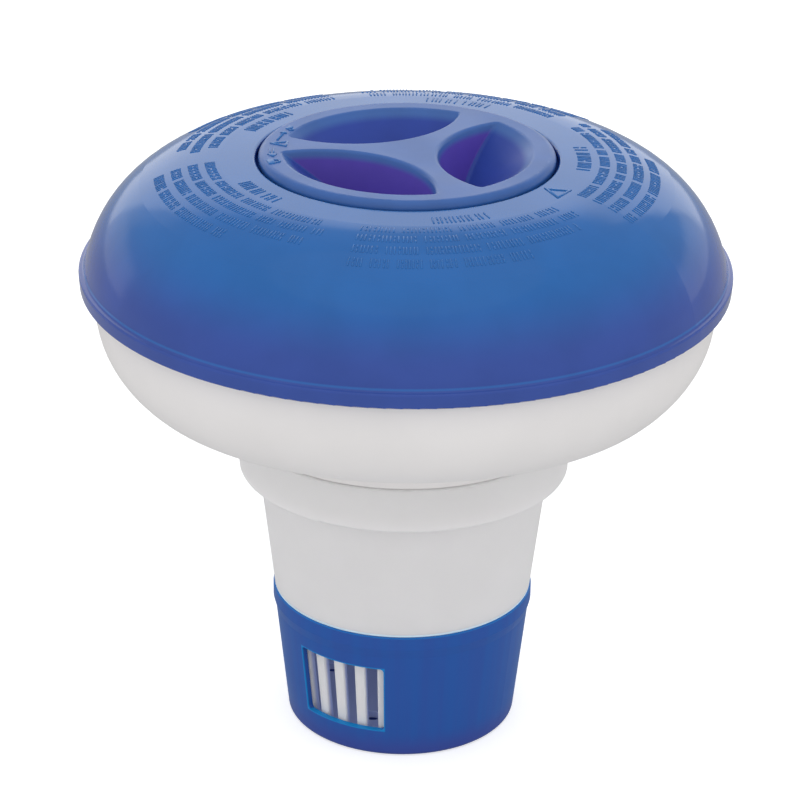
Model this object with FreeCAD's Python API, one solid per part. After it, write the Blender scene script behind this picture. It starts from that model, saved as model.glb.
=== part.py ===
"""Floating chlorine dispenser for pool tablets, as nine separate moulded pieces.

The float axis is +Z. The origin is the centre of the underside, where the dispenser stands.
The vent windows face -Y and +Y. All sizes are in millimetres.
"""

import FreeCAD, Part

import math
import os

os.makedirs("parts", exist_ok=True)

UP = FreeCAD.Vector(0, 0, 1)
ORIGIN = FreeCAD.Vector(0, 0, 0)

# Aids to the solid work
FUSE_DEPTH = 0.3
CUT_MARGIN = 1.0
LENGTH_TOLERANCE = 0.02

# Float shells
WALL = 1.6
LIP_RADIUS = 63.5
LIP_DRAFT = 0.15
LIP_BOTTOM_Z = 94.6
LIP_TOP_Z = 97.08
LIP_FOOT_ROUND = 0.3
LIP_CREST_ROUND = 0.45
LIP_CREST_ANGLE = 165.0
LIP_HOLLOW_ROUND = 0.9
LIP_INNER_RADIUS = 61.3
SEAL_LAND_RADIUS = 59.4
SEAL_LAND_ANGLE = 110.0
DOME_FOOT_RADIUS = 62.3
DOME_FOOT_Z = 98.25
DOME_SIDE_RADIUS = 25.0
DOME_CROWN_RADIUS = 31.0
DOME_SIDE_ANGLE = 102.0
DOME_SHOULDER_ANGLE = 147.0
DOME_CROWN_ANGLE = 177.0
BOWL_RIM_RADIUS = 60.95
BOWL_RIM_Z = 96.7
BOWL_SIDE_ANGLE = -93.6
BOWL_SIDE_FOOT_Z = 89.1
BOWL_BELLY_RADIUS = 19.5
BOWL_BELLY_ANGLE = -138.5
BOWL_CORNER_ROUND = 2.5
BOWL_FLOOR_ANGLE = -165.0
RIM_SEAL_HEIGHT = 1.0

# Mouth of the dome, and the fill tube that its hub holds
MOUTH_RADIUS = 29.1
MOUTH_EDGE_ROUND = 0.6
MOUTH_LEDGE_Z = 118.0
MOUTH_LEDGE_HEIGHT = 0.8
HUB_INNER_RADIUS = 28.6
HUB_FOOT_Z = 113.0
TUBE_INNER_RADIUS = 26.9
TUBE_FOOT_Z = 58.5

# Bayonet between the cap and the tube
BAYONET_COUNT = 3
BAYONET_TURN = 38.0
LEDGE_INNER_RADIUS = 25.5
LEDGE_BOTTOM_Z = 111.5
LEDGE_HEIGHT = 2.0
LEDGE_SPAN = 32.0
STOP_SPAN = 2.0
STOP_BOTTOM_Z = 109.2
LUG_RADIUS = 26.5
LUG_BOTTOM_Z = 109.2
LUG_HEIGHT = 2.0
LUG_SPAN = 28.0
LUG_STOP_GAP = 1.0

# Twist cap
CAP_RADIUS = 28.6
CAP_TOP_Z = 120.6
CAP_FLANGE_Z = 118.4
CAP_EDGE_ROUND = 1.5
CAP_MIDDLE_ANGLE = 24.0
SKIRT_RADIUS = 25.2
SKIRT_WALL = 1.6
SKIRT_BOTTOM_Z = 109.2
SEAL_BEAD_RADIUS = 25.8
SEAL_BEAD_Z = 115.8
SEAL_BEAD_HEIGHT = 0.5
POCKET_WALL = 1.6
POCKET_RIM_RADIUS = 24.3
POCKET_RIM_SLOPE = 1.23
POCKET_GRIP_RADIUS = 21.6
POCKET_GRIP_SLOPE = 0.38
POCKET_GRIP_CENTRE = 27.4
POCKET_CUT_DEPTH = 12.5
POCKET_VALLEY_ROUND = 0.8
VALLEY_LEAST_RISE = 3.0
POCKET_EDGE_ROUND = 0.9

# Cap seal
CAP_SEAL_INNER_RADIUS = 25.3
CAP_SEAL_OUTER_RADIUS = 26.6
CAP_SEAL_BOTTOM_Z = 116.4
CAP_SEAL_TOP_Z = 118.3

# Step ring that joins the canister to the float
STEP_RADIUS = 33.0
STEP_FOOT_RADIUS = 32.8
STEP_TOP_Z = 64.0
STEP_BOTTOM_Z = 54.7
STEP_FLOOR = 2.3
STEP_EDGE_ROUND = 0.6
SEAM_BEVEL = 0.35
SPIGOT_RADIUS = 31.1
SPIGOT_CLEARANCE = 0.1
BOWL_COLLAR_FOOT_Z = 64.1

# Canister
NECK_FOOT_Z = 28.55
NECK_FOOT_RADIUS = 25.85
NECK_FOOT_BEVEL = 0.1
NECK_SLOPE = 0.12
CAGE_TOP_Z = 24.0
CAGE_BOTTOM_Z = 2.8
CAGE_WALL = 1.5
CAGE_CLEARANCE = 0.25
CAGE_BEVEL = 0.8
CANISTER_FLOOR_TOP_Z = 4.2
SNAP_BEAD_RADIUS = 25.6
SNAP_BEAD_BOTTOM_Z = 25.6
SNAP_BEAD_TOP_Z = 26.1
SNAP_GROOVE_RADIUS = 25.15
SNAP_GROOVE_BOTTOM_Z = 26.6

# Vent cup
CUP_BASE_RADIUS = 23.0
CUP_SLOPE = 0.1104
CUP_WALL = 1.15
CUP_FLOOR = 1.6
CUP_EDGE_ROUND = 1.2
CUP_SIDE_TOP_Z = 23.6
CUP_RIM_RADIUS = 26.15
CUP_RIM_Z = 28.4
CUP_RIM_ROUND = 0.3
CUP_FLARE_TOP_Z = 25.6
CUP_GROOVE_RADIUS = 25.8
CUP_GROOVE_BOTTOM_Z = 25.3
CUP_HOOK_RADIUS = 25.45
CUP_HOOK_Z = 27.1
CUP_HOOK_BEVEL = 0.3
FOOT_RECESS_RADIUS = 18.0
FOOT_RECESS_DEPTH = 0.5

# Windows, slots, drain holes and turning stops
WINDOW_ANGLES = (90, 270)
CUTTER_INNER_RADIUS = 18.0
CUTTER_OUTER_RADIUS = 30.0
WINDOW_BOTTOM_Z = 6.0
WINDOW_TOP_Z = 20.8
WINDOW_SPAN = 44.0
WINDOW_CORNER_ROUND = 0.8
SLOTS_PER_WINDOW = 4
SLOT_PITCH = 11.5
SLOT_SPAN = 6.2
SLOT_SHIFT = -2.0
SLOT_TOP_Z = 22.0
SLOT_EDGE_ROUND = 0.3
DRAIN_COUNT = 4
DRAIN_RADIUS = 1.75
DRAIN_CIRCLE_RADIUS = 15.3
DRAIN_FIRST_ANGLE = 8.0
CUP_TURN = 90.0
PEG_CIRCLE_RADIUS = 19.0
PEG_RADIUS = 1.2
PEG_HEIGHT = 0.9
PEG_FIRST_ANGLE = 45.0
STOP_RIB_WIDTH = 2.0
STOP_RIB_HEIGHT = 0.9
PEG_STOP_GAP = 0.8


class Outline:
    """A closed outline in the radius-height plane, drawn as lines and arcs."""

    def __init__(self, radius, height):
        self.start = (radius, height)
        self.end = self.start
        self.edges = []

    def line(self, radius, height):
        """Go straight to a place, unless the outline is already there."""
        if math.dist(self.end, (radius, height)) < 1e-6:
            return self
        self.edges.append(Part.LineSegment(point(self.end), point((radius, height))).toShape())
        self.end = (radius, height)
        return self

    def ray(self, angle, radius):
        """Go straight along a direction in degrees until the given radius."""
        length = (radius - self.end[0]) / math.cos(math.radians(angle))
        height = self.end[1] + length * math.sin(math.radians(angle))
        return self.line(radius, height)

    def turn(self, arc_radius, from_angle, to_angle):
        """Follow a round corner from one direction of travel to another, in degrees."""
        side = 1.0 if to_angle > from_angle else -1.0
        centre = shift(self.end, from_angle + 90 * side, arc_radius)
        middle = shift(centre, (from_angle + to_angle) / 2 - 90 * side, arc_radius)
        finish = shift(centre, to_angle - 90 * side, arc_radius)
        self.edges.append(Part.Arc(point(self.end), point(middle), point(finish)).toShape())
        self.end = finish
        return self

    def revolve(self):
        self.line(*self.start)
        face = Part.Face(Part.Wire(self.edges))
        return face.revolve(ORIGIN, UP, 360)


def point(place):
    return FreeCAD.Vector(place[0], 0, place[1])


def shift(place, angle, distance):
    direction = math.radians(angle)
    return (place[0] + distance * math.cos(direction), place[1] + distance * math.sin(direction))


def polar(radius, angle, height=0.0):
    direction = math.radians(angle)
    return FreeCAD.Vector(radius * math.cos(direction), radius * math.sin(direction), height)


def ring_piece(inner_radius, outer_radius, bottom, top, from_angle, span):
    """A stretch of a square-edged ring, from one angle about +Z over a span in degrees."""
    corners = [
        FreeCAD.Vector(inner_radius, 0, bottom),
        FreeCAD.Vector(outer_radius, 0, bottom),
        FreeCAD.Vector(outer_radius, 0, top),
        FreeCAD.Vector(inner_radius, 0, top),
    ]
    face = Part.Face(Part.makePolygon(corners + corners[:1]))
    piece = face.revolve(ORIGIN, UP, span)
    piece.rotate(ORIGIN, UP, from_angle)
    return piece


def ring(inner_radius, outer_radius, bottom, top):
    return ring_piece(inner_radius, outer_radius, bottom, top, 0, 360)


def one_solid(shape):
    """The single cleaned solid of a finished boolean result."""
    solids = shape.removeSplitter().Solids
    if len(solids) != 1:
        raise ValueError("expected one solid, found %d" % len(solids))
    return solids[0]


def lug_angles():
    """Middle angles of the cap's bayonet lugs with the cap unlocked."""
    return [CAP_MIDDLE_ANGLE + 360 / BAYONET_COUNT * index for index in range(BAYONET_COUNT)]


def make_float_dome():
    seal_top = BOWL_RIM_Z + RIM_SEAL_HEIGHT
    foot = (DOME_FOOT_RADIUS, DOME_FOOT_Z)
    hollow_centre = shift(foot, DOME_SIDE_ANGLE - 90, LIP_HOLLOW_ROUND)
    hollow_start = shift(hollow_centre, LIP_CREST_ANGLE + 90, LIP_HOLLOW_ROUND)
    outline = Outline(LIP_RADIUS - LIP_DRAFT - LIP_FOOT_ROUND, LIP_BOTTOM_Z)
    outline.turn(LIP_FOOT_ROUND, 0, 90)
    outline.line(LIP_RADIUS, LIP_TOP_Z)
    outline.turn(LIP_CREST_ROUND, 90, LIP_CREST_ANGLE)
    outline.line(*hollow_start)
    outline.turn(LIP_HOLLOW_ROUND, LIP_CREST_ANGLE, DOME_SIDE_ANGLE)
    outline.turn(DOME_SIDE_RADIUS, DOME_SIDE_ANGLE, DOME_SHOULDER_ANGLE)
    outer_shoulder = outline.end
    outline.turn(DOME_CROWN_RADIUS, DOME_SHOULDER_ANGLE, DOME_CROWN_ANGLE)
    outer_crown = outline.end
    outline.ray(DOME_CROWN_ANGLE, MOUTH_RADIUS + MOUTH_EDGE_ROUND)
    outline.turn(MOUTH_EDGE_ROUND, 180, 270)
    outline.line(MOUTH_RADIUS, MOUTH_LEDGE_Z)
    outline.line(TUBE_INNER_RADIUS, MOUTH_LEDGE_Z)
    outline.line(TUBE_INNER_RADIUS, MOUTH_LEDGE_Z - MOUTH_LEDGE_HEIGHT)
    outline.line(HUB_INNER_RADIUS, MOUTH_LEDGE_Z - MOUTH_LEDGE_HEIGHT)
    outline.line(HUB_INNER_RADIUS, HUB_FOOT_Z)
    outline.line(HUB_INNER_RADIUS + WALL, HUB_FOOT_Z)
    inner_crown = shift(outer_crown, DOME_CROWN_ANGLE + 90, WALL)
    hub_rise = (inner_crown[0] - HUB_INNER_RADIUS - WALL) * math.tan(math.radians(180 - DOME_CROWN_ANGLE))
    outline.line(HUB_INNER_RADIUS + WALL, inner_crown[1] + hub_rise)
    outline.line(*inner_crown)
    outline.turn(DOME_CROWN_RADIUS - WALL, DOME_CROWN_ANGLE - 180, DOME_SHOULDER_ANGLE - 180)
    outline.line(*shift(outer_shoulder, DOME_SHOULDER_ANGLE + 90, WALL))
    outline.turn(DOME_SIDE_RADIUS - WALL, DOME_SHOULDER_ANGLE - 180, SEAL_LAND_ANGLE - 180)
    outline.line(SEAL_LAND_RADIUS, seal_top)
    outline.line(LIP_INNER_RADIUS, seal_top)
    outline.line(LIP_INNER_RADIUS, LIP_BOTTOM_Z)
    return one_solid(outline.revolve())


def make_fill_tube():
    top = MOUTH_LEDGE_Z - MOUTH_LEDGE_HEIGHT
    tube = ring(TUBE_INNER_RADIUS, TUBE_INNER_RADIUS + WALL, TUBE_FOOT_Z, top)
    return one_solid(tube.fuse(bayonet_ledges()))


def bayonet_ledges():
    """Inward ledges that hold the cap's lugs down, each with a stop for both ends of the turn."""
    pieces = []
    reach = TUBE_INNER_RADIUS + WALL / 2
    top = LEDGE_BOTTOM_Z + LEDGE_HEIGHT
    stop_offset = LUG_SPAN / 2 + LUG_STOP_GAP
    for angle in lug_angles():
        locked = angle - BAYONET_TURN
        ledge_start = locked - LEDGE_SPAN / 2
        pieces.append(ring_piece(LEDGE_INNER_RADIUS, reach, LEDGE_BOTTOM_Z, top, ledge_start, LEDGE_SPAN))
        for start in (locked - stop_offset - STOP_SPAN, angle + stop_offset):
            pieces.append(ring_piece(LEDGE_INNER_RADIUS, reach, STOP_BOTTOM_Z, top, start, STOP_SPAN))
    return pieces


def make_float_bowl():
    side_draft = math.tan(math.radians(-90 - BOWL_SIDE_ANGLE))
    side_foot_radius = BOWL_RIM_RADIUS - (BOWL_RIM_Z - BOWL_SIDE_FOOT_Z) * side_draft
    outline = Outline(BOWL_RIM_RADIUS, BOWL_RIM_Z)
    outline.line(side_foot_radius, BOWL_SIDE_FOOT_Z)
    outline.turn(BOWL_BELLY_RADIUS, BOWL_SIDE_ANGLE, BOWL_BELLY_ANGLE)
    belly_end = outline.end
    outline.turn(BOWL_CORNER_ROUND, BOWL_BELLY_ANGLE, BOWL_FLOOR_ANGLE)
    floor_start = outline.end
    outline.ray(BOWL_FLOOR_ANGLE, STEP_RADIUS)
    outline.line(STEP_RADIUS, BOWL_COLLAR_FOOT_Z + SEAM_BEVEL)
    outline.line(STEP_RADIUS - SEAM_BEVEL, BOWL_COLLAR_FOOT_Z)
    outline.line(SPIGOT_RADIUS, BOWL_COLLAR_FOOT_Z)
    outline.line(SPIGOT_RADIUS, TUBE_FOOT_Z)
    outline.line(SPIGOT_RADIUS - WALL, TUBE_FOOT_Z)
    outline.line(SPIGOT_RADIUS - WALL, BOWL_COLLAR_FOOT_Z + WALL)
    outline.line(STEP_RADIUS - WALL, BOWL_COLLAR_FOOT_Z + WALL)
    inner_floor = shift(floor_start, BOWL_FLOOR_ANGLE - 90, WALL)
    floor_rise = (inner_floor[0] - STEP_RADIUS + WALL) * math.tan(math.radians(BOWL_FLOOR_ANGLE + 180))
    outline.line(STEP_RADIUS - WALL, inner_floor[1] - floor_rise)
    outline.line(*inner_floor)
    outline.turn(BOWL_CORNER_ROUND - WALL, BOWL_FLOOR_ANGLE + 180, BOWL_BELLY_ANGLE + 180)
    outline.line(*shift(belly_end, BOWL_BELLY_ANGLE - 90, WALL))
    outline.turn(BOWL_BELLY_RADIUS - WALL, BOWL_BELLY_ANGLE + 180, BOWL_SIDE_ANGLE + 180)
    outline.line(BOWL_RIM_RADIUS - WALL, BOWL_RIM_Z)
    return one_solid(outline.revolve())


def make_rim_seal():
    return ring(BOWL_RIM_RADIUS - WALL, BOWL_RIM_RADIUS, BOWL_RIM_Z, BOWL_RIM_Z + RIM_SEAL_HEIGHT)


def make_canister_seal():
    inner_radius = neck_radius(STEP_BOTTOM_Z) - WALL
    return ring(inner_radius + SPIGOT_CLEARANCE, SPIGOT_RADIUS, STEP_BOTTOM_Z + STEP_FLOOR, TUBE_FOOT_Z)


def neck_radius(height):
    return NECK_FOOT_RADIUS + NECK_SLOPE * (height - NECK_FOOT_Z)


def cup_radius(height):
    return CUP_BASE_RADIUS + CUP_SLOPE * height


def cage_radius(height):
    return cup_radius(height) - CUP_WALL - CAGE_CLEARANCE


def make_tablet_canister():
    step_floor_top = STEP_BOTTOM_Z + STEP_FLOOR
    neck_top = neck_radius(STEP_BOTTOM_Z)
    outline = Outline(0, CAGE_BOTTOM_Z)
    outline.line(cage_radius(CAGE_BOTTOM_Z) - CAGE_BEVEL, CAGE_BOTTOM_Z)
    outline.line(cage_radius(CAGE_BOTTOM_Z + CAGE_BEVEL), CAGE_BOTTOM_Z + CAGE_BEVEL)
    outline.line(cage_radius(CAGE_TOP_Z), CAGE_TOP_Z)
    outline.line(SNAP_BEAD_RADIUS, SNAP_BEAD_BOTTOM_Z)
    outline.line(SNAP_BEAD_RADIUS, SNAP_BEAD_TOP_Z)
    outline.line(SNAP_GROOVE_RADIUS, SNAP_GROOVE_BOTTOM_Z)
    outline.line(SNAP_GROOVE_RADIUS, NECK_FOOT_Z - NECK_FOOT_BEVEL)
    outline.line(NECK_FOOT_RADIUS, NECK_FOOT_Z)
    outline.line(neck_top, STEP_BOTTOM_Z)
    outline.line(STEP_FOOT_RADIUS - STEP_EDGE_ROUND, STEP_BOTTOM_Z)
    outline.turn(STEP_EDGE_ROUND, 0, 90)
    outline.line(STEP_RADIUS, STEP_TOP_Z - SEAM_BEVEL)
    outline.line(STEP_RADIUS - SEAM_BEVEL, STEP_TOP_Z)
    outline.line(SPIGOT_RADIUS + SPIGOT_CLEARANCE, STEP_TOP_Z)
    outline.line(SPIGOT_RADIUS + SPIGOT_CLEARANCE, step_floor_top)
    outline.line(neck_top - WALL, step_floor_top)
    outline.line(NECK_FOOT_RADIUS - WALL, NECK_FOOT_Z)
    outline.line(cage_radius(CAGE_TOP_Z) - CAGE_WALL, CAGE_TOP_Z)
    outline.line(cage_radius(CANISTER_FLOOR_TOP_Z) - CAGE_WALL, CANISTER_FLOOR_TOP_Z)
    outline.line(0, CANISTER_FLOOR_TOP_Z)
    canister = outline.revolve().fuse(stop_ribs())
    canister = one_solid(canister.cut(vent_slots() + drain_holes(CAGE_BOTTOM_Z, CANISTER_FLOOR_TOP_Z)))
    return round_slot_edges(canister)


def vent_slots():
    """Upright slots between radial planes, in one group behind each window."""
    slots = []
    first = SLOT_SHIFT - SLOT_PITCH * (SLOTS_PER_WINDOW - 1) / 2
    for window_angle in WINDOW_ANGLES:
        for index in range(SLOTS_PER_WINDOW):
            start = window_angle + first + SLOT_PITCH * index - SLOT_SPAN / 2
            slots.append(ring_piece(CUTTER_INNER_RADIUS, CUTTER_OUTER_RADIUS,
                                    CANISTER_FLOOR_TOP_Z, SLOT_TOP_Z, start, SLOT_SPAN))
    return slots


def round_slot_edges(canister):
    """Round the outer upright edges of the bars between the slots."""
    edges = []
    slot_height = SLOT_TOP_Z - CANISTER_FLOOR_TOP_Z
    for edge in canister.Edges:
        box = edge.BoundBox
        middle = edge.valueAt((edge.FirstParameter + edge.LastParameter) / 2)
        upright = abs(box.ZLength - slot_height) < LENGTH_TOLERANCE
        if upright and abs(math.hypot(middle.x, middle.y) - cage_radius(middle.z)) < LENGTH_TOLERANCE:
            edges.append(edge)
    return canister.makeFillet(SLOT_EDGE_ROUND, edges)


def drain_holes(bottom, top):
    """Cutters for the drain holes of a floor that lies between two heights."""
    holes = []
    for index in range(DRAIN_COUNT):
        place = polar(DRAIN_CIRCLE_RADIUS, DRAIN_FIRST_ANGLE + 360 / DRAIN_COUNT * index, bottom - CUT_MARGIN)
        holes.append(Part.makeCylinder(DRAIN_RADIUS, top - bottom + 2 * CUT_MARGIN, place))
    return holes


def stop_ribs():
    """Two curved ribs under the canister that limit the cup to its quarter turn."""
    peg_half_span = math.degrees(math.asin(PEG_RADIUS / PEG_CIRCLE_RADIUS))
    free_span = CUP_TURN + 2 * (peg_half_span + PEG_STOP_GAP)
    inner_radius = PEG_CIRCLE_RADIUS - STOP_RIB_WIDTH / 2
    ribs = []
    for turn in (0, 180):
        start = PEG_FIRST_ANGLE + turn + CUP_TURN + peg_half_span + PEG_STOP_GAP
        ribs.append(ring_piece(inner_radius, inner_radius + STOP_RIB_WIDTH, CAGE_BOTTOM_Z - STOP_RIB_HEIGHT,
                               CAGE_BOTTOM_Z + FUSE_DEPTH, start, 180 - free_span))
    return ribs


def make_vent_cup():
    side_angle = 90 - math.degrees(math.atan(CUP_SLOPE))
    outline = Outline(0, FOOT_RECESS_DEPTH)
    outline.line(FOOT_RECESS_RADIUS, FOOT_RECESS_DEPTH)
    outline.line(FOOT_RECESS_RADIUS + FOOT_RECESS_DEPTH, 0)
    outline.line(cup_radius(CUP_EDGE_ROUND) - CUP_EDGE_ROUND, 0)
    outline.turn(CUP_EDGE_ROUND, 0, side_angle)
    outline.line(cup_radius(CUP_SIDE_TOP_Z), CUP_SIDE_TOP_Z)
    outline.line(CUP_RIM_RADIUS, CUP_FLARE_TOP_Z)
    outline.line(CUP_RIM_RADIUS, CUP_RIM_Z - CUP_RIM_ROUND)
    outline.turn(CUP_RIM_ROUND, 90, 180)
    outline.line(CUP_HOOK_RADIUS + CUP_HOOK_BEVEL, CUP_RIM_Z)
    outline.line(CUP_HOOK_RADIUS, CUP_RIM_Z - CUP_HOOK_BEVEL)
    outline.line(CUP_HOOK_RADIUS, CUP_HOOK_Z)
    outline.line(CUP_GROOVE_RADIUS, CUP_HOOK_Z - CUP_HOOK_BEVEL)
    outline.line(CUP_GROOVE_RADIUS, CUP_GROOVE_BOTTOM_Z)
    outline.line(cup_radius(CUP_SIDE_TOP_Z) - CUP_WALL, CUP_SIDE_TOP_Z)
    outline.line(cup_radius(CUP_FLOOR) - CUP_WALL, CUP_FLOOR)
    outline.line(0, CUP_FLOOR)
    cup = outline.revolve().fuse(stop_pegs())
    return one_solid(cup.cut(windows() + drain_holes(0, CUP_FLOOR)))


def windows():
    openings = []
    cutter_depth = CUTTER_OUTER_RADIUS - CUTTER_INNER_RADIUS
    for angle in WINDOW_ANGLES:
        opening = ring_piece(CUTTER_INNER_RADIUS, CUTTER_OUTER_RADIUS,
                             WINDOW_BOTTOM_Z, WINDOW_TOP_Z, angle - WINDOW_SPAN / 2, WINDOW_SPAN)
        radial = [edge for edge in opening.Edges if abs(edge.Length - cutter_depth) < LENGTH_TOLERANCE]
        openings.append(opening.makeFillet(WINDOW_CORNER_ROUND, radial))
    return openings


def stop_pegs():
    pegs = []
    for turn in (0, 180):
        place = polar(PEG_CIRCLE_RADIUS, PEG_FIRST_ANGLE + turn, CUP_FLOOR - FUSE_DEPTH)
        pegs.append(Part.makeCylinder(PEG_RADIUS, PEG_HEIGHT + FUSE_DEPTH, place))
    return pegs


def leaf(grow, angle, top_z, depth):
    """A leaf-shaped pocket form: where a cone about the cap's axis meets a cone set off-centre."""
    rim_top = POCKET_RIM_RADIUS + grow * math.hypot(1, POCKET_RIM_SLOPE)
    grip_top = POCKET_GRIP_RADIUS + grow * math.hypot(1, POCKET_GRIP_SLOPE)
    extra = top_z - CAP_TOP_Z
    rim_high = rim_top + POCKET_RIM_SLOPE * extra
    grip_high = grip_top + POCKET_GRIP_SLOPE * extra
    height = depth + extra
    place = FreeCAD.Vector(0, 0, CAP_TOP_Z - depth)
    centre = polar(POCKET_GRIP_CENTRE, angle, CAP_TOP_Z - depth)
    rim_cone = Part.makeCone(rim_high - POCKET_RIM_SLOPE * height, rim_high, height, place)
    grip_cone = Part.makeCone(grip_high - POCKET_GRIP_SLOPE * height, grip_high, height, centre)
    return rim_cone.common(grip_cone)


def make_twist_cap():
    outline = Outline(0, CAP_FLANGE_Z)
    outline.line(CAP_RADIUS, CAP_FLANGE_Z)
    outline.line(CAP_RADIUS, CAP_TOP_Z - CAP_EDGE_ROUND)
    outline.turn(CAP_EDGE_ROUND, 90, 180)
    outline.line(0, CAP_TOP_Z)
    cap = outline.revolve()
    bead_top = SEAL_BEAD_Z + SEAL_BEAD_HEIGHT
    pieces = [
        ring(SKIRT_RADIUS - SKIRT_WALL, SKIRT_RADIUS, SKIRT_BOTTOM_Z, CAP_FLANGE_Z + FUSE_DEPTH),
        ring(SKIRT_RADIUS - FUSE_DEPTH, SEAL_BEAD_RADIUS, SEAL_BEAD_Z, bead_top),
    ]
    for angle in lug_angles():
        pieces.append(ring_piece(SKIRT_RADIUS - FUSE_DEPTH, LUG_RADIUS, LUG_BOTTOM_Z,
                                 LUG_BOTTOM_Z + LUG_HEIGHT, angle - LUG_SPAN / 2, LUG_SPAN))
    for angle in lug_angles():
        pieces.append(leaf(POCKET_WALL, angle, CAP_TOP_Z - FUSE_DEPTH, POCKET_CUT_DEPTH + POCKET_WALL))
    cap = cap.fuse(pieces)
    pockets = [rounded_pocket(angle) for angle in lug_angles()]
    cap = one_solid(cap.cut(pockets))
    return cap.makeFillet(POCKET_EDGE_ROUND, pocket_edges(cap))


def rounded_pocket(angle):
    """The hollow of one finger pocket, with its valley rounded."""
    pocket = leaf(0, angle, CAP_TOP_Z + CUT_MARGIN, POCKET_CUT_DEPTH)
    valley = [edge for edge in pocket.Edges if edge.BoundBox.ZLength > VALLEY_LEAST_RISE]
    return pocket.makeFillet(POCKET_VALLEY_ROUND, valley)


def pocket_edges(cap):
    """The edges of the cap's flat top that go round the pockets."""
    edges = []
    for edge in cap.Edges:
        box = edge.BoundBox
        middle = edge.valueAt((edge.FirstParameter + edge.LastParameter) / 2)
        inside = math.hypot(middle.x, middle.y) < POCKET_RIM_RADIUS + LENGTH_TOLERANCE
        on_top = abs(box.ZMin - CAP_TOP_Z) < LENGTH_TOLERANCE and box.ZLength < LENGTH_TOLERANCE
        if on_top and inside:
            edges.append(edge)
    return edges


def make_cap_gasket():
    return ring(CAP_SEAL_INNER_RADIUS, CAP_SEAL_OUTER_RADIUS, CAP_SEAL_BOTTOM_Z, CAP_SEAL_TOP_Z)


PIECES = {
    "float_dome": make_float_dome,
    "fill_tube": make_fill_tube,
    "float_bowl": make_float_bowl,
    "rim_seal": make_rim_seal,
    "canister_seal": make_canister_seal,
    "tablet_canister": make_tablet_canister,
    "vent_cup": make_vent_cup,
    "twist_cap": make_twist_cap,
    "cap_gasket": make_cap_gasket,
}

for name, make in PIECES.items():
    shape = make()
    shape.exportStep("parts/%s.step" % name)
    print("%s: %.0f mm3, valid %s" % (name, shape.Volume, shape.isValid()))
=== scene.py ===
"""Looks of the floating chlorine dispenser: moulded plastics, raised marks, studio and camera.

Lengths in this script are millimetres and angles are degrees, unless a name says otherwise.
"""

import math
import random

import bpy
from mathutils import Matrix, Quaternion, Vector
from mathutils.bvhtree import BVHTree


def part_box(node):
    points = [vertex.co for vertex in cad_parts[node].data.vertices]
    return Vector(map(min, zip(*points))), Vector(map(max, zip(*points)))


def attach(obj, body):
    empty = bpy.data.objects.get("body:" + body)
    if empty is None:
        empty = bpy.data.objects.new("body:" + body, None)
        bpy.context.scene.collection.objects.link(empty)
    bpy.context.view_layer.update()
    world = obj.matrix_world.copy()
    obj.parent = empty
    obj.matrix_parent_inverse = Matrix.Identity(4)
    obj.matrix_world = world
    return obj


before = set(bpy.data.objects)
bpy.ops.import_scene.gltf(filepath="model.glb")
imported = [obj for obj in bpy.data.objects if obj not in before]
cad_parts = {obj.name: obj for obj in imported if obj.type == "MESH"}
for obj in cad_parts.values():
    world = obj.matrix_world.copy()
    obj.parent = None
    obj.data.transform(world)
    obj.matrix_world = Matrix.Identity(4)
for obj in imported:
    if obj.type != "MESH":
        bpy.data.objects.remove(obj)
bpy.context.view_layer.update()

MM = 0.001

# Camera
CAMERA_AZIMUTH = 30.0
CAMERA_ELEVATION = 24.3
CAMERA_DISTANCE = 650.0
CAMERA_ROLL = 0.66
CAMERA_LENS = 147.5
SENSOR_WIDTH = 36.0
AIM_HEIGHT = 67.93
AIM_SIDE = -0.86

# Studio: zones of light that the plastic mirrors, and the even light that falls on it.
# The zones are fixed places in the world and do not follow the camera in other views.
# Bearings run left from the direction straight away from the camera.
FLOOR_SIZE = 6000.0
WALL_LEFT = (31.0, 34.0)
WALL_RIGHT = (29.0, 36.0)
WALL_TOP = (28.0, 46.0)
WALL_BRIGHTNESS = 1.3
SIDE_LEFT = (34.0, 56.0)
SIDE_BRIGHTNESS = 0.66
HORIZON_TOP = (10.0, 22.0)
HORIZON_SIDE = (60.0, 72.0)
HORIZON_BRIGHTNESS = 0.78
CEILING_EDGE = 60.0
CEILING_BRIGHTNESS = 0.54
ROOM_BRIGHTNESS = 0.42
SOFT_BRIGHTNESS = 1.02
BACKDROP_BRIGHTNESS = 1.0
FLOOR_COLOUR = (0.70, 0.715, 0.73)
FLOOR_GLOW = 0.58
FLOOR_SHINE = 0.45

# Light that seeps through the canister's walls into the cage
INSIDE_GLOW = 0.14
CAGE_LIGHT = (0.30, 0.36, 0.62)

# Light that comes through the rim of the cup onto the foot of the neck
FOOT_GLOW = 0.35
FOOT_LIGHT = (0.66, 0.88, 1.0)

# Raised marks on the dome: blocks of rows of upright strokes, in place of words
BLOCK_COUNT = 5
BLOCK_FIRST_ANGLE = 31.0
HEADING_RADIUS = 34.0
HEADING_SPAN = 23.0
ROW_FIRST_RADIUS = 37.9
ROW_PITCH = 3.25
ROW_SPANS = (62.0, 64.0, 60.0, 42.0)
ROW_START = -32.0
PAD_HEIGHT = 0.13
PAD_BEVEL = 0.09
STROKE = 0.34
ROW_MARK_HEIGHT = 2.0
HEADING_MARK_HEIGHT = 2.7
ALIGNMENT_ANGLE = -3.0
ALIGNMENT_RADIUS = 33.2

# The crease of the dome above its lip, where a painted highlight line runs
LIP_CREASE_Z = 98.0

# The vent cup: its tapered side, its rim and its windows
CUP_BASE_RADIUS = 23.0
CUP_SIDE_RADIUS = 24.5
CUP_SLOPE = 0.1104
CUP_RIM_Z = 28.4
WINDOW_BOTTOM_Z = 6.0
WINDOW_TOP_Z = 20.8
WINDOW_SPAN = 44.0
EDGE_LINE = 0.35

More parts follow.
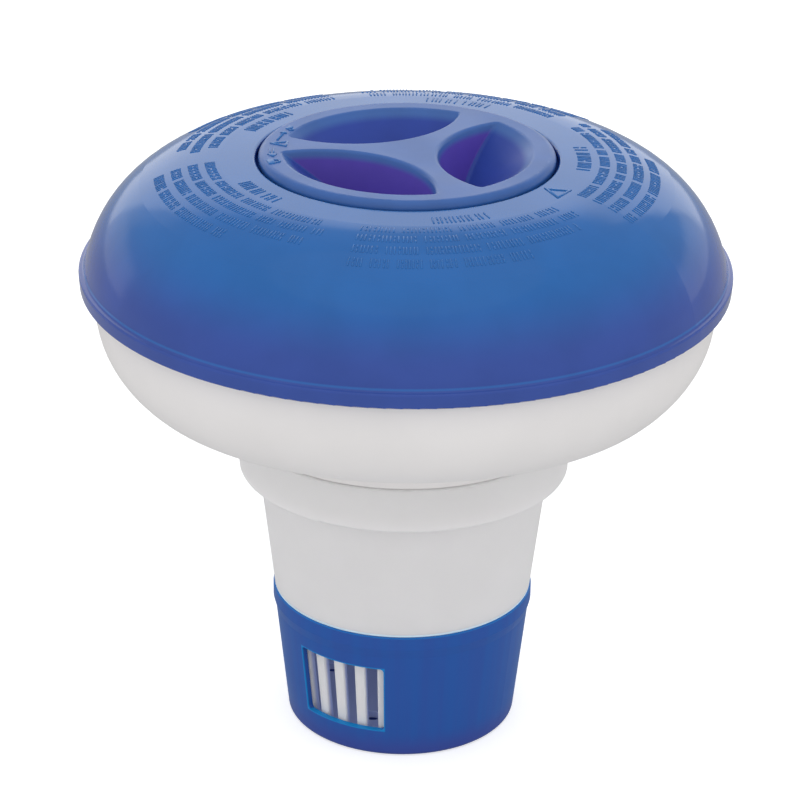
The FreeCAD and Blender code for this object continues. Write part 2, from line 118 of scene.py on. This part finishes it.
# The canister: its cage stands inside the cup, and its neck starts above the rim
CAGE_BASE_RADIUS = 21.6
CAGE_TOP_Z = 24.0
NECK_FOOT_Z = 28.55

# The finger pockets: where painted shade darkens their walls
POCKET_DEEP_Z = 118.6
POCKET_EDGE_Z = 119.9
POCKET_REACH = 23.4

# Marks on the cap
CAP_MARK_ANGLE = 204.2
CAP_MARK_RADIUS = 25.2
CAP_MARK_HEIGHT = 0.18
MARK_BEVEL = 0.08


class Graph:
    """Short calls that add shader nodes and link them."""

    def __init__(self, tree):
        self.tree = tree
        tree.nodes.clear()

    def add(self, kind, **settings):
        node = self.tree.nodes.new(kind)
        for name, value in settings.items():
            setattr(node, name, value)
        return node

    def feed(self, socket, value):
        """Link an output to a socket, or set a plain value on it."""
        if isinstance(value, bpy.types.NodeSocket):
            self.tree.links.new(value, socket)
        else:
            socket.default_value = value

    def math(self, operation, first, second=0.0, third=0.0):
        node = self.add("ShaderNodeMath", operation=operation)
        for socket, value in zip(node.inputs, (first, second, third)):
            self.feed(socket, value)
        return node.outputs[0]

    def blend(self, share, first, second):
        node = self.add("ShaderNodeMix", data_type="RGBA")
        self.feed(node.inputs["Factor"], share)
        self.feed(node.inputs[6], first)
        self.feed(node.inputs[7], second)
        return node.outputs[2]

    def ramp(self, value, low, high, to_low=0.0, to_high=1.0):
        """A smooth step of a value from one level to another."""
        node = self.add("ShaderNodeMapRange", interpolation_type="SMOOTHSTEP")
        self.feed(node.inputs[0], value)
        for socket, level in zip(node.inputs[1:5], (low, high, to_low, to_high)):
            socket.default_value = level
        return node.outputs[0]

    def noise(self, place, scale, detail=2.0, roughness=0.5):
        node = self.add("ShaderNodeTexNoise")
        self.feed(node.inputs["Vector"], place)
        node.inputs["Scale"].default_value = scale
        node.inputs["Detail"].default_value = detail
        node.inputs["Roughness"].default_value = roughness
        return node.outputs[0]

    def split(self, vector):
        node = self.add("ShaderNodeSeparateXYZ")
        self.feed(node.inputs[0], vector)
        return node.outputs

    def join(self, x, y, z):
        node = self.add("ShaderNodeCombineXYZ")
        for socket, value in zip(node.inputs, (x, y, z)):
            self.feed(socket, value)
        return node.outputs[0]


def rgba(colour):
    return (*colour, 1.0)


class Plastic(Graph):
    """A moulded plastic: its own shader, with places read in millimetres on the part."""

    def __init__(self, name):
        self.material = bpy.data.materials.new(name)
        self.material.use_nodes = True
        super().__init__(self.material.node_tree)
        self.shader = self.add("ShaderNodeBsdfPrincipled")
        self.output = self.add("ShaderNodeOutputMaterial")
        self.feed(self.output.inputs["Surface"], self.shader.outputs[0])
        self.coordinates = self.add("ShaderNodeTexCoord")
        scaled = self.add("ShaderNodeVectorMath", operation="SCALE")
        self.feed(scaled.inputs[0], self.coordinates.outputs["Object"])
        scaled.inputs["Scale"].default_value = 1 / MM
        self.place = scaled.outputs[0]
        self.x, self.y, self.z = self.split(self.place)

    def axis_distance(self):
        y_squared = self.math("MULTIPLY", self.y, self.y)
        return self.math("SQRT", self.math("MULTIPLY_ADD", self.x, self.x, y_squared))

    def levelness(self):
        """How level the surface is, from 0 on an upright wall to 1 on a flat top."""
        return self.split(self.coordinates.outputs["Normal"])[2]

    def mottle(self, colour, spread, grain_size):
        """A colour with soft cloudy differences, as moulded plastic has."""
        clouds = self.noise(self.place, 1 / grain_size, 3.0)
        share = self.ramp(clouds, 0.3, 0.7)
        darker = rgba([part * (1 - spread) for part in colour])
        lighter = rgba([min(part * (1 + spread), 1.0) for part in colour])
        return self.blend(share, darker, lighter)

    def surface(self, colour, roughness, roughness_spread, grain_size, grain_depth):
        """Finish the shader: colour, uneven gloss and a fine moulded grain."""
        self.feed(self.shader.inputs["Base Color"], colour)
        smears = self.noise(self.place, 0.07, 1.0)
        low, high = roughness - roughness_spread, roughness + roughness_spread
        self.feed(self.shader.inputs["Roughness"], self.ramp(smears, 0.3, 0.7, low, high))
        bump = self.add("ShaderNodeBump")
        bump.inputs["Strength"].default_value = 1.0
        bump.inputs["Distance"].default_value = grain_depth * MM
        self.feed(bump.inputs["Height"], self.noise(self.place, 1 / grain_size, 2.0))
        self.feed(self.shader.inputs["Normal"], bump.outputs[0])
        return self.material


def dome_blue():
    """Glossy blue with painted light and shade: darker and more violet low down, lighter and more cyan
    higher up, matte and dark inside the mouth as painted shade of the seam, and a painted highlight line
    along the crease above the lip.
    """
    part = Plastic("dome_blue")
    # Painted shade and light: the lower dome darker and more violet, the upper dome lighter and more
    # cyan.
    violet = part.mottle((0.034, 0.078, 0.345), 0.05, 12.0)
    high = part.mottle((0.015, 0.126, 0.410), 0.04, 12.0)
    outside = part.blend(part.ramp(part.z, 101.0, 113.0), violet, high)
    # Painted shade: the mouth round the cap is painted dark and matte, as the seam gap lies in shade.
    mouth = part.ramp(part.axis_distance(), 29.15, 29.45, 1.0, 0.0)
    part.feed(part.shader.inputs["Specular IOR Level"], part.math("MULTIPLY_ADD", mouth, -0.5, 0.5))
    colour = part.blend(mouth, outside, rgba((0.014, 0.040, 0.220)))
    # Painted highlight: a lighter cyan line along the crease above the lip.
    crease = part.math("ABSOLUTE", part.math("SUBTRACT", part.z, LIP_CREASE_Z))
    colour = part.blend(part.ramp(crease, 0.05, 0.30, 0.35, 0.0), colour, rgba((0.020, 0.220, 0.600)))
    return part.surface(colour, 0.12, 0.02, 0.5, 0.0025)


def cap_blue():
    """Satin blue, with painted shade in the finger pockets: darker on their slopes and darker violet on
    their steep walls.
    """
    part = Plastic("cap_blue")
    top = part.mottle((0.026, 0.115, 0.395), 0.05, 8.0)
    # Painted shade in the pockets: the slopes darker, the steep walls darker and violet.
    slope = part.mottle((0.030, 0.066, 0.345), 0.04, 8.0)
    wall = part.mottle((0.088, 0.056, 0.400), 0.04, 8.0)
    pocket_shade = part.blend(part.ramp(part.levelness(), 0.45, 0.70), wall, slope)
    beyond = part.ramp(part.axis_distance(), POCKET_REACH - 0.8, POCKET_REACH)
    outside = part.math("MAXIMUM", part.ramp(part.z, POCKET_DEEP_Z, POCKET_EDGE_Z), beyond)
    colour = part.blend(outside, pocket_shade, top)
    part.feed(part.shader.inputs["Specular IOR Level"], part.math("MULTIPLY_ADD", outside, 0.45, 0.20))
    return part.surface(colour, 0.36, 0.03, 0.35, 0.010)


def mark_blue():
    part = Plastic("mark_blue")
    colour = part.mottle((0.017, 0.142, 0.445), 0.06, 3.0)
    return part.surface(colour, 0.30, 0.04, 0.3, 0.006)


def vent_blue():
    """Satin blue with faint upright streaks, darker and more violet at the foot as painted shade, and
    lighter along the window edges and the rim as painted highlights.
    """
    part = Plastic("vent_blue")
    part.shader.inputs["Specular IOR Level"].default_value = 0.12
    part.shader.inputs["Sheen Weight"].default_value = 0.08
    part.shader.inputs["Sheen Roughness"].default_value = 0.4
    part.shader.inputs["Sheen Tint"].default_value = (0.0, 0.55, 1.0, 1.0)
    angle = part.math("ARCTAN2", part.x, part.math("ABSOLUTE", part.y))
    sweep = part.join(part.math("MULTIPLY", angle, 9.0), part.math("MULTIPLY", part.z, 0.01), 0.0)
    streaks = part.ramp(part.noise(sweep, 1.0, 3.0), 0.35, 0.65)
    wall = part.blend(streaks, rgba((0.029, 0.093, 0.382)), rgba((0.024, 0.102, 0.400)))
    # Painted shade: darker and more violet towards the foot of the cup.
    body = part.blend(part.ramp(part.z, 0.5, 6.0), rgba((0.045, 0.078, 0.345)), wall)
    # Painted highlight: lighter cyan on the rim and along the window sills and outlines.
    rim = part.ramp(part.z, CUP_RIM_Z - 0.3, CUP_RIM_Z - 0.1)
    edge = part.math("MAXIMUM", window_edge_highlight(part, angle), part.math("MULTIPLY", rim, 0.4))
    colour = part.blend(edge, body, rgba((0.010, 0.250, 0.640)))
    return part.surface(colour, 0.40, 0.03, 0.4, 0.005)


def window_edge_highlight(part, angle):
    """1 on the sills of the vent windows and along their outlines on the outer face, where a painted
    highlight goes.
    """
    turn = part.math("SUBTRACT", part.math("ABSOLUTE", angle), math.radians(WINDOW_SPAN / 2))
    beside = part.math("MULTIPLY", turn, CUP_SIDE_RADIUS)
    below = part.math("SUBTRACT", WINDOW_BOTTOM_Z, part.z)
    above = part.math("SUBTRACT", part.z, WINDOW_TOP_Z)
    outside = part.math("MAXIMUM", beside, part.math("MAXIMUM", below, above))
    wall = part.math("MULTIPLY_ADD", part.z, CUP_SLOPE, CUP_BASE_RADIUS)
    depth = part.math("SUBTRACT", wall, part.axis_distance())
    near_edge = part.ramp(outside, 0.05, EDGE_LINE, 1.0, 0.0)
    on_face = part.ramp(depth, 0.15, EDGE_LINE, 1.0, 0.0)
    outline = part.math("MULTIPLY", near_edge, on_face)
    level = part.ramp(part.math("ABSOLUTE", below), 0.04, 0.10, 1.0, 0.0)
    sill = part.math("MULTIPLY", level, part.ramp(beside, 0.0, 0.3, 1.0, 0.0))
    return part.math("MAXIMUM", outline, sill)


def shell_white():
    part = Plastic("shell_white")
    colour = part.mottle((0.880, 0.855, 0.848), 0.015, 20.0)
    return part.surface(colour, 0.45, 0.03, 0.4, 0.005)


def canister_white():
    """Off-white, bluish where light comes through the cup: inside the cage and along the neck's foot."""
    part = Plastic("canister_white")
    part.shader.inputs["Subsurface Weight"].default_value = 1.0
    part.shader.inputs["Subsurface Radius"].default_value = (1.0, 0.97, 1.0)
    part.shader.inputs["Subsurface Scale"].default_value = 2.5 * MM
    outside = part.mottle((0.875, 0.852, 0.856), 0.015, 15.0)
    cage_wall = part.math("MULTIPLY_ADD", part.z, CUP_SLOPE, CAGE_BASE_RADIUS)
    depth = part.math("SUBTRACT", cage_wall, part.axis_distance())
    in_cage = part.ramp(part.z, CAGE_TOP_Z - 1, CAGE_TOP_Z + 2, 1.0, 0.0)
    inside = part.math("MULTIPLY", part.ramp(depth, 0.3, 1.3), in_cage)
    colour = part.blend(inside, outside, rgba(CAGE_LIGHT))
    low = part.ramp(part.z, NECK_FOOT_Z + 0.15, NECK_FOOT_Z + 0.5, 1.0, 0.0)
    foot = part.math("MULTIPLY", low, part.ramp(part.z, NECK_FOOT_Z - 0.2, NECK_FOOT_Z - 0.1))
    colour = part.blend(foot, colour, rgba(FOOT_LIGHT))
    part.feed(part.shader.inputs["Emission Color"], part.blend(foot, rgba(CAGE_LIGHT), rgba(FOOT_LIGHT)))
    cage_glow = part.math("MULTIPLY", inside, INSIDE_GLOW)
    glow = part.math("MAXIMUM", cage_glow, part.math("MULTIPLY", foot, FOOT_GLOW))
    part.feed(part.shader.inputs["Emission Strength"], glow)
    return part.surface(colour, 0.45, 0.03, 0.4, 0.005)


def seal_rubber():
    part = Plastic("seal_rubber")
    colour = part.mottle((0.02, 0.02, 0.022), 0.2, 2.0)
    return part.surface(colour, 0.6, 0.08, 0.3, 0.02)


def floor_material():
    """A pale floor that shows nearly white, and that mirrors only faintly in the plastic."""
    part = Plastic("studio_floor")
    material = part.surface(part.mottle(FLOOR_COLOUR, 0.004, 120.0), 0.8, 0.03, 3.0, 0.002)
    rays = part.add("ShaderNodeLightPath")
    glow = part.add("ShaderNodeEmission")
    part.feed(glow.inputs["Strength"], part.math("MULTIPLY", rays.outputs["Is Camera Ray"], FLOOR_GLOW))
    lifted = part.add("ShaderNodeAddShader")
    part.feed(lifted.inputs[0], part.shader.outputs[0])
    part.feed(lifted.inputs[1], glow.outputs[0])
    shine = part.add("ShaderNodeEmission")
    shine.inputs["Strength"].default_value = FLOOR_SHINE
    either = part.add("ShaderNodeMixShader")
    part.feed(either.inputs[0], rays.outputs["Is Glossy Ray"])
    part.feed(either.inputs[1], lifted.outputs[0])
    part.feed(either.inputs[2], shine.outputs[0])
    part.feed(part.output.inputs["Surface"], either.outputs[0])
    return material


def paint(name, material):
    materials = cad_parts[name].data.materials
    materials.clear()
    materials.append(material)


class Relief:
    """One mesh of low raised shapes that lie on the upward face of a CAD node."""

    def __init__(self, node):
        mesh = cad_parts[node].data
        places = [vertex.co for vertex in mesh.vertices]
        self.tree = BVHTree.FromPolygons(places, [polygon.vertices for polygon in mesh.polygons])
        self.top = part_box(node)[1].z + MM
        self.vertices = []
        self.faces = []

    def ring(self, loop, radius, angle, lift):
        """Lay a flat loop on the node at a place given by radius and angle, and lift it off the face."""
        first = len(self.vertices)
        for along, outward in loop:
            direction = math.radians(angle) + along / radius
            reach = (radius + outward) * MM
            above = Vector((reach * math.cos(direction), reach * math.sin(direction), self.top))
            place, normal = self.tree.ray_cast(above, Vector((0, 0, -1)))[:2]
            self.vertices.append(place + normal * lift * MM)
        return list(range(first, first + len(loop)))

    def strip(self, lower, upper):
        count = len(lower)
        for index in range(count):
            after = (index + 1) % count
            self.faces.append((lower[index], lower[after], upper[after], upper[index]))

    def rim(self, loop, radius, angle, height, bevel):
        """The three rings of one raised edge, from below the face to the start of the flat top."""
        foot = self.ring(loop, radius, angle, -0.05)
        shoulder = self.ring(inset(loop, bevel * 0.25), radius, angle, height * 0.65)
        crest = self.ring(inset(loop, bevel), radius, angle, height)
        self.strip(foot, shoulder)
        self.strip(shoulder, crest)
        return crest

    def pad(self, loop, radius, angle, height, bevel=0.14):
        crest = self.rim(loop, radius, angle, height, bevel)
        self.faces.append(tuple(crest))

    def band(self, outer, inner, radius, angle, height, bevel=0.12):
        """A raised outline between two loops that have the same number of points."""
        outer_crest = self.rim(outer, radius, angle, height, bevel)
        inner_crest = self.rim(inner[::-1], radius, angle, height, bevel)
        self.strip(outer_crest, inner_crest[::-1])

    def finish(self, name, body, material):
        mesh = bpy.data.meshes.new(name)
        mesh.from_pydata(self.vertices, [], self.faces)
        mesh.update()
        for polygon in mesh.polygons:
            polygon.use_smooth = True
        mesh.materials.append(material)
        piece = bpy.data.objects.new(name, mesh)
        bpy.context.scene.collection.objects.link(piece)
        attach(piece, body)
        return piece


def inset(loop, distance):
    """An anticlockwise loop moved inwards by a distance, with mitred corners."""
    moved = []
    count = len(loop)
    for index in range(count):
        before, here, after = (Vector(loop[(index + step) % count]) for step in (-1, 0, 1))
        first = (here - before).normalized()
        second = (after - here).normalized()
        first_normal = Vector((-first.y, first.x))
        second_normal = Vector((-second.y, second.x))
        middle = (first_normal + second_normal).normalized()
        moved.append(tuple(here + middle * distance / max(middle.dot(first_normal), 0.3)))
    return moved


def rounded_box(width, height, radius, centre=(0.0, 0.0), steps=3):
    """An anticlockwise loop round a box with round corners."""
    loop = []
    for corner, (side, end) in enumerate(((1, 1), (-1, 1), (-1, -1), (1, -1))):
        middle = (centre[0] + side * (width / 2 - radius), centre[1] + end * (height / 2 - radius))
        for step in range(steps + 1):
            turn = math.radians(90 * corner + 90 * step / steps)
            loop.append((middle[0] + radius * math.cos(turn), middle[1] + radius * math.sin(turn)))
    return loop


def bar(width, height, centre):
    return rounded_box(width, height, min(width, height) * 0.35, centre, 1)


def arch(outer, inner, leg, side):
    """A thick arch that opens outwards, as the shackle of a padlock does."""
    turns = [math.pi * index / 8 for index in range(9)]
    loop = [(side + outer * math.cos(turn), -leg - outer * math.sin(turn)) for turn in turns]
    loop += [(side - outer, 0.0), (side - inner, 0.0)]
    loop += [(side - inner * math.cos(turn), -leg - inner * math.sin(turn)) for turn in turns]
    loop += [(side + inner, 0.0), (side + outer, 0.0)]
    return loop[::-1]


def write_row(relief, generator, radius, start, span, height):
    """A row of upright strokes in groups, where a moulding has a line of print."""
    angle = start
    left_in_group = generator.randint(3, 9)
    while True:
        width = generator.choice((STROKE, 0.9, 1.1, 1.25)) * max(height / ROW_MARK_HEIGHT, 1.0)
        turn = math.degrees((width + 0.36) / radius)
        if angle + turn > start + span:
            return
        middle = angle + turn / 2
        for loop in stroke_pattern(generator, width, height):
            relief.pad(loop, radius, middle, PAD_HEIGHT, PAD_BEVEL)
        angle += turn
        left_in_group -= 1
        if left_in_group == 0:
            angle += math.degrees(1.1 / radius)
            left_in_group = generator.randint(3, 9)


def stroke_pattern(generator, width, height):
    """One cell of the print: an upright stroke, a pair of them, or a stroke beside two half ones."""
    if width <= STROKE * 1.5:
        return [bar(STROKE, height, (0.0, 0.0))]
    edge = (width - STROKE) / 2
    upright = bar(STROKE, height, (-edge, 0.0))
    if generator.random() < 0.5:
        return [upright, bar(STROKE, height, (edge, 0.0))]
    half = height / 2 - 0.15
    lift = (height - half) / 2
    return [upright, bar(STROKE, half, (edge, lift)), bar(STROKE, half, (edge, -lift))]


def make_dome_marks(material):
    relief = Relief("float_dome")
    generator = random.Random(11)
    for block in range(BLOCK_COUNT):
        centre = BLOCK_FIRST_ANGLE + 360 / BLOCK_COUNT * block
        start = centre - HEADING_SPAN / 2
        write_row(relief, generator, HEADING_RADIUS, start, HEADING_SPAN, HEADING_MARK_HEIGHT)
        for row, span in enumerate(ROW_SPANS):
            radius = ROW_FIRST_RADIUS + ROW_PITCH * row
            write_row(relief, generator, radius, centre + ROW_START, span, ROW_MARK_HEIGHT)
    relief.finish("dome_print", "float", material)


def make_alignment_mark(material):
    relief = Relief("float_dome")
    outer = [(0.0, -2.7), (2.45, 2.0), (-2.45, 2.0)]
    relief.band(outer, inset(outer, 0.55), ALIGNMENT_RADIUS, ALIGNMENT_ANGLE, 0.2)
    relief.finish("alignment_mark", "float", material)


def make_cap_marks(material):
    """An outward triangle, with an arrow on each side: one to an open padlock, one to a closed one."""
    relief = Relief("twist_cap")
    triangle = [(0.0, 1.5), (-1.75, -2.0), (1.75, -2.0)]
    relief.band(triangle, inset(triangle, 0.42), CAP_MARK_RADIUS, CAP_MARK_ANGLE, CAP_MARK_HEIGHT)
    arrow = [(-2.6, 0.0), (-1.5, -0.75), (-1.5, -0.22), (2.6, -0.22)]
    arrow += [(2.6, 0.22), (-1.5, 0.22), (-1.5, 0.75)]
    relief.pad(arrow, 25.5, CAP_MARK_ANGLE - 10.3, CAP_MARK_HEIGHT, MARK_BEVEL)
    make_padlock(relief, 25.3, CAP_MARK_ANGLE - 21.0, 0.8, 0.95)
    for side in (-0.35, 0.35):
        relief.pad(bar(2.9, 0.34, (0.0, side)), 26.0, CAP_MARK_ANGLE + 9.6, CAP_MARK_HEIGHT, MARK_BEVEL)
    head = [(1.2, 0.0), (-0.5, 1.0), (-0.5, -1.0)]
    relief.pad(head, 26.0, CAP_MARK_ANGLE + 14.2, CAP_MARK_HEIGHT, MARK_BEVEL)
    make_padlock(relief, 26.2, CAP_MARK_ANGLE + 22.0, 1.1, 0.0)
    relief.finish("cap_marks", "cap", material)


def make_padlock(relief, radius, angle, size, side):
    """A padlock with its shackle towards the cap's centre, moved aside where it is open."""
    body = rounded_box(2.3 * size, 1.3 * size, 0.3 * size, (0.0, 0.65 * size))
    shackle = arch(0.85 * size, 0.42 * size, 0.3 * size, side * size)
    relief.pad(body, radius, angle, CAP_MARK_HEIGHT)
    relief.pad(shackle, radius, angle, CAP_MARK_HEIGHT, MARK_BEVEL)


def make_floor():
    half = FLOOR_SIZE * MM / 2
    mesh = bpy.data.meshes.new("floor")
    corners = [(-half, -half, 0), (half, -half, 0), (half, half, 0), (-half, half, 0)]
    mesh.from_pydata(corners, [], [(0, 1, 2, 3)])
    mesh.materials.append(floor_material())
    floor = bpy.data.objects.new("floor", mesh)
    bpy.context.scene.collection.objects.link(floor)


def side_direction(azimuth):
    """The level direction from the object towards a camera at an azimuth."""
    turn = math.radians(azimuth)
    return Vector((math.sin(turn), -math.cos(turn), 0))


def make_studio():
    """Even light from all round, while gloss mirrors a dimmer room with one bright wall behind."""
    world = bpy.data.worlds.new("studio")
    bpy.context.scene.world = world
    world.use_nodes = True
    sky = Graph(world.node_tree)
    direction = sky.add("ShaderNodeTexCoord").outputs["Generated"]
    away = -side_direction(CAMERA_AZIMUTH)
    left = Vector((-away.y, away.x, 0))
    across, ahead = dot(sky, direction, left), dot(sky, direction, away)
    bearing = sky.math("DEGREES", sky.math("ARCTAN2", across, ahead))
    rise = sky.math("DEGREES", sky.math("ARCSINE", sky.split(direction)[2]))
    right = sky.ramp(sky.math("MULTIPLY", bearing, -1.0), *WALL_RIGHT, 1.0, 0.0)
    low = sky.math("MULTIPLY", right, sky.ramp(rise, *WALL_TOP, 1.0, 0.0))
    around = sky.ramp(sky.math("ABSOLUTE", bearing), *HORIZON_SIDE, 1.0, 0.0)
    zones = (
        (sky.math("MULTIPLY", low, sky.ramp(bearing, *WALL_LEFT, 1.0, 0.0)), WALL_BRIGHTNESS),
        (sky.math("MULTIPLY", low, sky.ramp(bearing, *SIDE_LEFT, 1.0, 0.0)), SIDE_BRIGHTNESS),
        (sky.math("MULTIPLY", around, sky.ramp(rise, *HORIZON_TOP, 1.0, 0.0)), HORIZON_BRIGHTNESS),
        (sky.ramp(rise, CEILING_EDGE - 1, CEILING_EDGE + 1), CEILING_BRIGHTNESS),
    )
    mirrored = ROOM_BRIGHTNESS
    for zone, brightness in zones:
        mirrored = sky.math("MAXIMUM", sky.math("MULTIPLY", zone, brightness), mirrored)
    rays = sky.add("ShaderNodeLightPath")
    strength = sky.math("MULTIPLY_ADD", rays.outputs["Is Glossy Ray"],
                        sky.math("SUBTRACT", mirrored, SOFT_BRIGHTNESS), SOFT_BRIGHTNESS)
    strength = sky.math("MULTIPLY_ADD", rays.outputs["Is Camera Ray"],
                        BACKDROP_BRIGHTNESS - SOFT_BRIGHTNESS, strength)
    light = sky.add("ShaderNodeBackground")
    light.inputs["Color"].default_value = (1.0, 0.995, 0.99, 1.0)
    sky.feed(light.inputs["Strength"], strength)
    output = sky.add("ShaderNodeOutputWorld")
    sky.feed(output.inputs["Surface"], light.outputs[0])


def dot(graph, vector, constant):
    node = graph.add("ShaderNodeVectorMath", operation="DOT_PRODUCT")
    graph.feed(node.inputs[0], vector)
    node.inputs[1].default_value = constant
    return node.outputs["Value"]


def make_camera():
    data = bpy.data.cameras.new("camera")
    data.sensor_width = SENSOR_WIDTH
    data.lens = CAMERA_LENS
    data.clip_end = 20.0
    camera = bpy.data.objects.new("camera", data)
    bpy.context.scene.collection.objects.link(camera)
    level = side_direction(CAMERA_AZIMUTH)
    rise = math.radians(CAMERA_ELEVATION)
    back = level * math.cos(rise) + Vector((0, 0, math.sin(rise)))
    right = Vector((-level.y, level.x, 0))
    aim = Vector((0, 0, AIM_HEIGHT)) + right * AIM_SIDE
    camera.location = (aim + back * CAMERA_DISTANCE) * MM
    turn = (-back).to_track_quat("-Z", "Y") @ Quaternion((0, 0, 1), math.radians(CAMERA_ROLL))
    camera.rotation_euler = turn.to_euler()
    bpy.context.scene.camera = camera


def set_display():
    """Show colours as they are, with no filmic curve."""
    bpy.context.scene.view_settings.view_transform = "Standard"
    bpy.context.scene.view_settings.look = "None"


paint("float_dome", dome_blue())
paint("twist_cap", cap_blue())
paint("vent_cup", vent_blue())
paint("float_bowl", shell_white())
white = canister_white()
paint("tablet_canister", white)
paint("fill_tube", white)
rubber = seal_rubber()
for seal in ("rim_seal", "canister_seal", "cap_gasket"):
    paint(seal, rubber)

marks = mark_blue()
make_dome_marks(marks)
make_alignment_mark(marks)
make_cap_marks(marks)
make_floor()
make_studio()
make_camera()
set_display()
